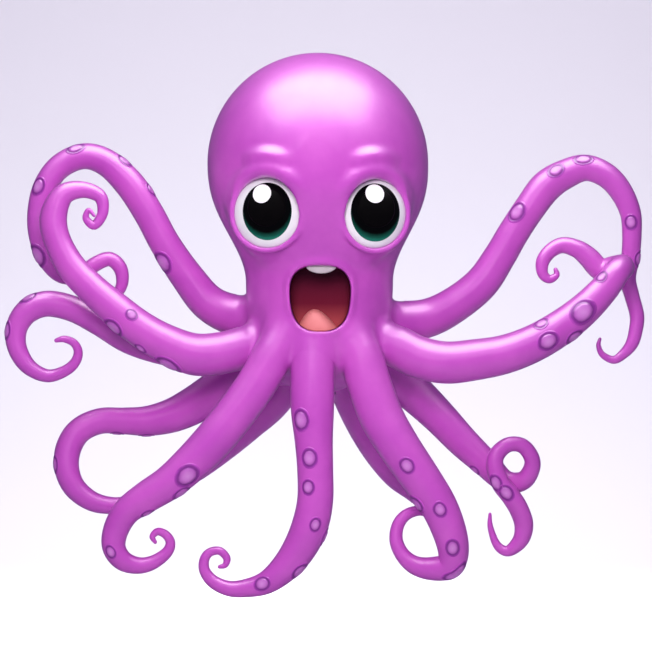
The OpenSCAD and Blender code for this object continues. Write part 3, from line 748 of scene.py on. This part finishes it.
def headField(x, y, z):
    lean = head["lean"] * np.clip((z - head["neckHeight"]) / (head["crownHeight"] - head["neckHeight"]), 0, 1)
    around = np.sqrt((x + lean) ** 2 + y * y)
    span = head["crownHeight"] - head["neckHeight"]
    t = np.clip((head["crownHeight"] - z) / span, 0, 1) ** 1.25
    wide = head["neckRadius"] + (head["crownRadius"] - head["neckRadius"]) * (1 + np.cos(math.pi * t)) / 2
    below = np.clip((head["neckHeight"] - z) / (head["neckHeight"] - head["hubHeight"]), 0, 1)
    wide = wide - (head["neckRadius"] - head["hubRadius"]) * below * below
    slope = np.gradient(wide[0, 0], z[0, 0])
    wall = (around - wide) / np.sqrt(1 + slope ** 2)
    crown = np.sqrt(around ** 2 + (z - head["crownHeight"]) ** 2) - head["crownRadius"]
    low = (z - head["hubHeight"]) / (head["hubHeight"] - head["belly"])
    bowl = (np.sqrt((around / head["hubRadius"]) ** 2 + low ** 2) - 1) * head["hubRadius"]
    return np.where(z > head["crownHeight"], crown, np.where(z < head["hubHeight"], bowl, wall))


def coneField(p, a, b, ra, rb):
    line = b - a
    size = float(line @ line)
    x, y, z = p
    t = np.clip(((x - a[0]) * line[0] + (y - a[1]) * line[1] + (z - a[2]) * line[2]) / size, 0, 1)
    gap = np.sqrt((x - a[0] - t * line[0]) ** 2 + (y - a[1] - t * line[1]) ** 2
                  + (z - a[2] - t * line[2]) ** 2)
    return gap - (ra + t * (rb - ra))


def addBodySkin():
    step = 0.007
    low, high = np.array([-0.48, -0.48, 0.0]), np.array([0.48, 0.48, 1.34])
    axes = [np.arange(low[i], high[i], step, dtype=np.float32) for i in range(3)]
    x, y, z = axes[0][:, None, None], axes[1][None, :, None], axes[2][None, None, :]
    body = headField(x, y, z)
    bare = body.copy()

    # arm roots, only in the lower part of the grid
    top = int(np.searchsorted(axes[2], 0.62))
    lower = (x, y, z[:, :, :top])
    roots = None
    for arm in arms:
        stop = arm.root - armSkin["overlap"] + 0.03
        runs = np.linspace(0, stop, 7)
        rows = arm.sample(runs)
        rows[:, 3] -= armSkin["tuck"] * 2
        tube = None
        for a, b in zip(rows[:-1], rows[1:]):
            piece = coneField(lower, a[:3].astype(np.float32), b[:3].astype(np.float32), a[3], b[3])
            tube = piece if tube is None else np.minimum(tube, piece)
        # a flat end instead of a ball, so that nothing reaches the bend
        d = arm.heading(stop).astype(np.float32)
        end = rows[-1, :3].astype(np.float32)
        flat = (x - end[0]) * d[0] + (y - end[1]) * d[1] + (z[:, :, :top] - end[2]) * d[2]
        tube = softMax(tube, flat, 0.012)
        roots = tube if roots is None else softMin(roots, tube, 0.022)
    body[:, :, :top] = softMin(body[:, :, :top], roots, head["armFillet"])

    # eye mounds, rims and folds, then the openings
    face = (slice(None), slice(0, int(np.searchsorted(axes[1], 0.05))),
            slice(int(np.searchsorted(axes[2], 0.25)), int(np.searchsorted(axes[2], 1.05))))
    fx, fy, fz = x, y[:, face[1]], z[:, :, face[2]]
    patch, wall = body[face], bare[face]
    for eye in (eyes["left"], eyes["right"]):
        centre, across, forward = eyeAxes(eye)
        dx, dy, dz = fx - centre[0], fy - centre[1], fz - centre[2]
        u = dx * across[0] + dy * across[1]
        w = dx * forward[0] + dy * forward[1]
        v = dz
        halfU, halfV = eye["half"]
        # the eye stands on a low mound, a little wider than itself
        wider, taller, behind, depth = 0.034, 0.036, 0.02, 0.098
        mound = (np.sqrt((u / (halfU + wider)) ** 2 + (v / (halfV + taller)) ** 2
                         + ((w + behind) / depth) ** 2) - 1) * 0.09
        patch = softMin(patch, mound, 0.045)
        skin = patch.copy()
        ring = (np.sqrt((u / halfU) ** 2 + (v / halfV) ** 2) - 1) * halfU
        rimReach, rimThick = 0.010, 0.0115
        lid = np.sqrt((ring - rimReach) ** 2 + (w - eyes["rimPlane"]) ** 2) - rimThick
        patch = softMin(patch, lid, 0.012)
        for reach, spread, thick, outward in ((0.030, 66, 0.021, 0), (0.076, 27, 0.020, -2)):
            # a fold is a soft roll that sinks into the skin towards its ends
            angle = np.abs(np.degrees(np.arctan2(u * eye["side"], v)) - outward)
            sink = thick * (0.7 * (angle / spread) ** 2 + 0.7 * (angle / spread) ** 4)
            fold = np.sqrt((ring - reach) ** 2 + (skin - 0.002 + sink) ** 2) - thick
            fold = np.where((w > -0.02) & (angle < 120), fold, 1.0)
            patch = softMin(patch, fold, 0.026)
        opening = np.maximum(ring, 0.0 - w)
        patch = softMax(patch, -opening, 0.007)
    lip = mouthOffset(fx, fz)
    roll = np.sqrt((lip - 0.008) ** 2 + (wall + 0.002) ** 2) - 0.009
    patch = softMin(patch, np.where(fy < 0, roll, 1.0), 0.014)
    pocket = np.maximum(lip, fy + 0.27 - mouth["deep"])
    patch = softMax(patch, -np.maximum(pocket, -0.27 - 0.15 - fy), 0.010)
    body[face] = patch

    # the valve's seat at the back
    hole = np.maximum(np.sqrt(x ** 2 + (z - head["crownHeight"]) ** 2) - 0.026, 0.325 - y)
    body = np.maximum(body, -hole)
    verts, faces = fieldToMesh(body, low, step)
    piece = addMesh("body_skin", verts, faces, purpleNylon)
    smooth = piece.modifiers.new("smooth", "SMOOTH")
    smooth.factor, smooth.iterations = 0.5, 4
    applyModifiers(piece)
    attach(piece, "body")
    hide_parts("head_skin", "arm_roots", "brow_folds", "eye_rims", "mouth_lip")


addBodySkin()
print("body skin")

# ---------- eyes ----------


def ballForward(eye, u, v, lift=0.0):
    halfU, halfV = eye["half"][0] * 1.12, eye["half"][1] * 1.12
    rest = np.clip(1 - (u / halfU) ** 2 - (v / halfV) ** 2, 0, None)
    return eyes["set"] + (eyes["depth"]) * math.sqrt(rest) + lift


def addEyePatch(name, eye, middle, half, lift, material, node, attribute=None, edge=0.0012):
    # A film disc that follows the ball, with a rolled edge
    centre, across, forward = eyeAxes(eye)
    rings, spokes = 18, 64
    verts, faces, values = [], [], []
    for i in range(rings + 2):
        share = min(i / rings, 1.0)
        drop = lift if i < rings else (lift * 0.6 if i == rings else -edge)
        for k in range(1 if i == 0 else spokes):
            t = 2 * math.pi * k / spokes
            u = middle[0] + half[0] * share * math.cos(t)
            v = middle[1] + half[1] * share * math.sin(t)
            w = ballForward(eye, u, v, drop)
            verts.append(centre + across * u + forward * w + np.array([0, 0, v]))
            values.append(attribute(share * math.cos(t), share * math.sin(t)) if attribute else 0)
    faces += [(0, 1 + k, 1 + (k + 1) % spokes) for k in range(spokes)]
    for i in range(rings):
        start = 1 + i * spokes
        faces += [(start + k, start + spokes + k, start + spokes + (k + 1) % spokes, start + (k + 1) % spokes)
                  for k in range(spokes)]
    piece = addMesh(name, verts, faces, material, {"fade": values} if attribute else None)
    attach(piece, "body")
    if node:
        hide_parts(node)
    return piece


def greenFade(x, z):
    # black over the upper part, green in a crescent along the lower edge
    reach = math.sqrt((x / 0.97) ** 2 + ((z - 0.13) / 0.87) ** 2)
    return min(max((reach - 0.97) / 0.34, 0), 1)


def addEye(label):
    eye = eyes[label]
    centre, across, forward = eyeAxes(eye)
    rows, spokes = 24, 72
    verts, faces = [], []
    halfU, halfV = eye["half"][0] * 1.12, eye["half"][1] * 1.12
    for i in range(rows + 1):
        lat = math.radians(90) * i / rows * 1.15
        for k in range(1 if i == 0 else spokes):
            t = 2 * math.pi * k / spokes
            verts.append(centre + across * halfU * math.sin(lat) * math.cos(t)
                         + forward * (eyes["set"] + eyes["depth"] * math.cos(lat))
                         + np.array([0, 0, halfV * math.sin(lat) * math.sin(t)]))
    faces += [(0, 1 + k, 1 + (k + 1) % spokes) for k in range(spokes)]
    for i in range(rows - 1):
        start = 1 + i * spokes
        faces += [(start + k, start + spokes + k, start + spokes + (k + 1) % spokes, start + (k + 1) % spokes)
                  for k in range(spokes)]
    ball = addMesh("eyeball_" + label, verts, faces, eyeVinyl)
    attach(ball, "body")
    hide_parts("eye_white_" + label)
    inward = eye["inward"]
    addEyePatch("iris_film_" + label, eye, (inward, 0.003), eye["dark"], 0.0012, irisMaterial,
                "iris_" + label, greenFade)
    addEyePatch("pupil_film_" + label, eye, (inward, 0.018), (eye["dark"][0] * 0.78, eye["dark"][1] * 0.68),
                0.0020, pupilVinyl, "pupil_" + label)
    # painted catchlight: a white film disc high on the eye, where a lamp's reflection falls
    spot = eye["spark"]
    addEyePatch("eye_spark_" + label, eye, (inward + spot[0], spot[1]), (0.034, 0.034), 0.0034, paintedCatchlightVinyl,
                "eye_highlights" if label == "left" else None)


addEye("left")
addEye("right")
print("eyes")

# ---------- mouth ----------


def mouthEdge(angle, shrink):
    halfX, halfZ = mouth["half"]
    p = mouth["square"]
    c, s = math.cos(angle), math.sin(angle)
    dx = math.copysign(abs(c) ** (2 / p), c)
    dz = math.copysign(abs(s) ** (2 / p), s)
    return (mouth["x"] + (halfX - shrink) * (1 + mouth["taper"] * dz) * dx,
            mouth["z"] + (halfZ - shrink) * dz)


def addMouthLiner():
    spokes, rings = 96, 14
    verts, faces = [], []
    for i in range(rings + 1):
        share = i / rings
        for k in range(spokes):
            x, z = mouthEdge(2 * math.pi * k / spokes, 0.002)
            front = -math.sqrt(max(0.270 ** 2 - x * x, 0)) + 0.011
            back = -0.27 + mouth["deep"] - 0.004
            if share < 0.6:
                y = front + (back - 0.035 - front) * share / 0.6
                pull = 1.0
            else:
                a = (share - 0.6) / 0.4 * math.radians(90)
                y = back - 0.035 + 0.035 * math.sin(a)
                pull = 0.55 + 0.45 * math.cos(a) if share < 1 else 0.5
            verts.append((mouth["x"] + (x - mouth["x"]) * pull, y, mouth["z"] + (z - mouth["z"]) * pull))
    for i in range(rings):
        for k in range(spokes):
            a, b = i * spokes + k, i * spokes + (k + 1) % spokes
            faces.append((a, b, b + spokes, a + spokes))
    faces.append([rings * spokes + k for k in range(spokes)])
    piece = addMesh("mouth_lining", verts, faces, liningMaterial)
    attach(piece, "body")
    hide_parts("mouth_liner")


def addTeeth():
    # One welded vinyl strip: straight where it meets the lip, bowed below
    steps, layers = 28, [(0.0, 0.0), (0.0022, 0.0), (0.0075, 0.002), (0.0105, 0.0075), (0.0105, 0.013)]
    verts, faces = [], []
    left, right, topZ, drop = -0.049, 0.063, 0.5225, 0.0262
    for i in range(steps + 1):
        s = i / steps
        x = left + (right - left) * s
        bow = math.sqrt(max(1 - (2 * s - 1) ** 2, 0)) ** 1.2 * drop
        front = -math.sqrt(0.270 ** 2 - x * x) + 0.012
        column = [(x, front + 0.014, topZ + 0.012), (x, front, topZ + 0.010),
                  (x, front - 0.003, topZ - bow * 0.45),
                  (x, front - 0.0005, topZ - bow * 0.9), (x, front + 0.004, topZ - bow),
                  (x, front + 0.014, topZ - bow * 0.92)]
        verts += column
    wide = 6
    for i in range(steps):
        for k in range(wide):
            a, b = i * wide + k, i * wide + (k + 1) % wide
            faces.append((a, a + wide, b + wide, b))
    faces += [list(range(wide)), [steps * wide + k for k in reversed(range(wide))]]
    piece = addMesh("tooth_strip", verts, faces, toothVinyl)
    subsurf = piece.modifiers.new("round", "SUBSURF")
    subsurf.levels = subsurf.render_levels = 1
    applyModifiers(piece)
    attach(piece, "body")
    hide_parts("upper_teeth")


def addTongue():
    # A padded tongue: a rounded hump that leans to one side
    rows, spokes = 40, 64
    verts, faces = [], []
    for i in range(rows + 1):
        lat = math.pi * i / rows
        for k in range(spokes):
            t = 2 * math.pi * k / spokes
            ring = math.sin(lat) ** 0.95
            x = 0.078 * ring * math.cos(t)
            y = 0.055 * ring * math.sin(t)
            z = 0.082 * math.copysign(abs(math.cos(lat)) ** 1.15, math.cos(lat))
            narrow = 1 - 0.34 * max(z, 0) / 0.082
            verts.append((-0.004 + x * narrow - 0.014 * max(z, 0) / 0.082, -0.200 + y, 0.287 + z))
    for i in range(rows):
        for k in range(spokes):
            a, b = i * spokes + k, i * spokes + (k + 1) % spokes
            faces.append((a, a + spokes, b + spokes, b))
    piece = addMesh("tongue_pad", verts, faces, tongueNylon)
    weld = piece.modifiers.new("weld", "WELD")
    weld.merge_threshold = 0.00005
    applyModifiers(piece)
    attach(piece, "body")
    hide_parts("tongue")


addMouthLiner()
addTeeth()
addTongue()
print("mouth")

# ---------- fittings kept from the CAD model ----------

fittings = {
    "tow_patch": webbingMaterial,
    "tow_eyelet": nickelPlate("bright_nickel_plate", "#cfcac0", 0.22),
    "valve_body": mouldedTpu("moulded_tpu_dark", "#4a2454"),
    "valve_cap": mouldedTpu("moulded_tpu_purple", "#8a3f96"),
    "valve_pin": nickelPlate("stainless_pin", "#b9b9bd", 0.3),
    "valve_flap": mouldedTpu("silicone_flap", "#d8d6d8"),
}
for node, material in fittings.items():
    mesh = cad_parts[node].data
    mesh.materials.clear()
    mesh.materials.append(material)
print("fittings")
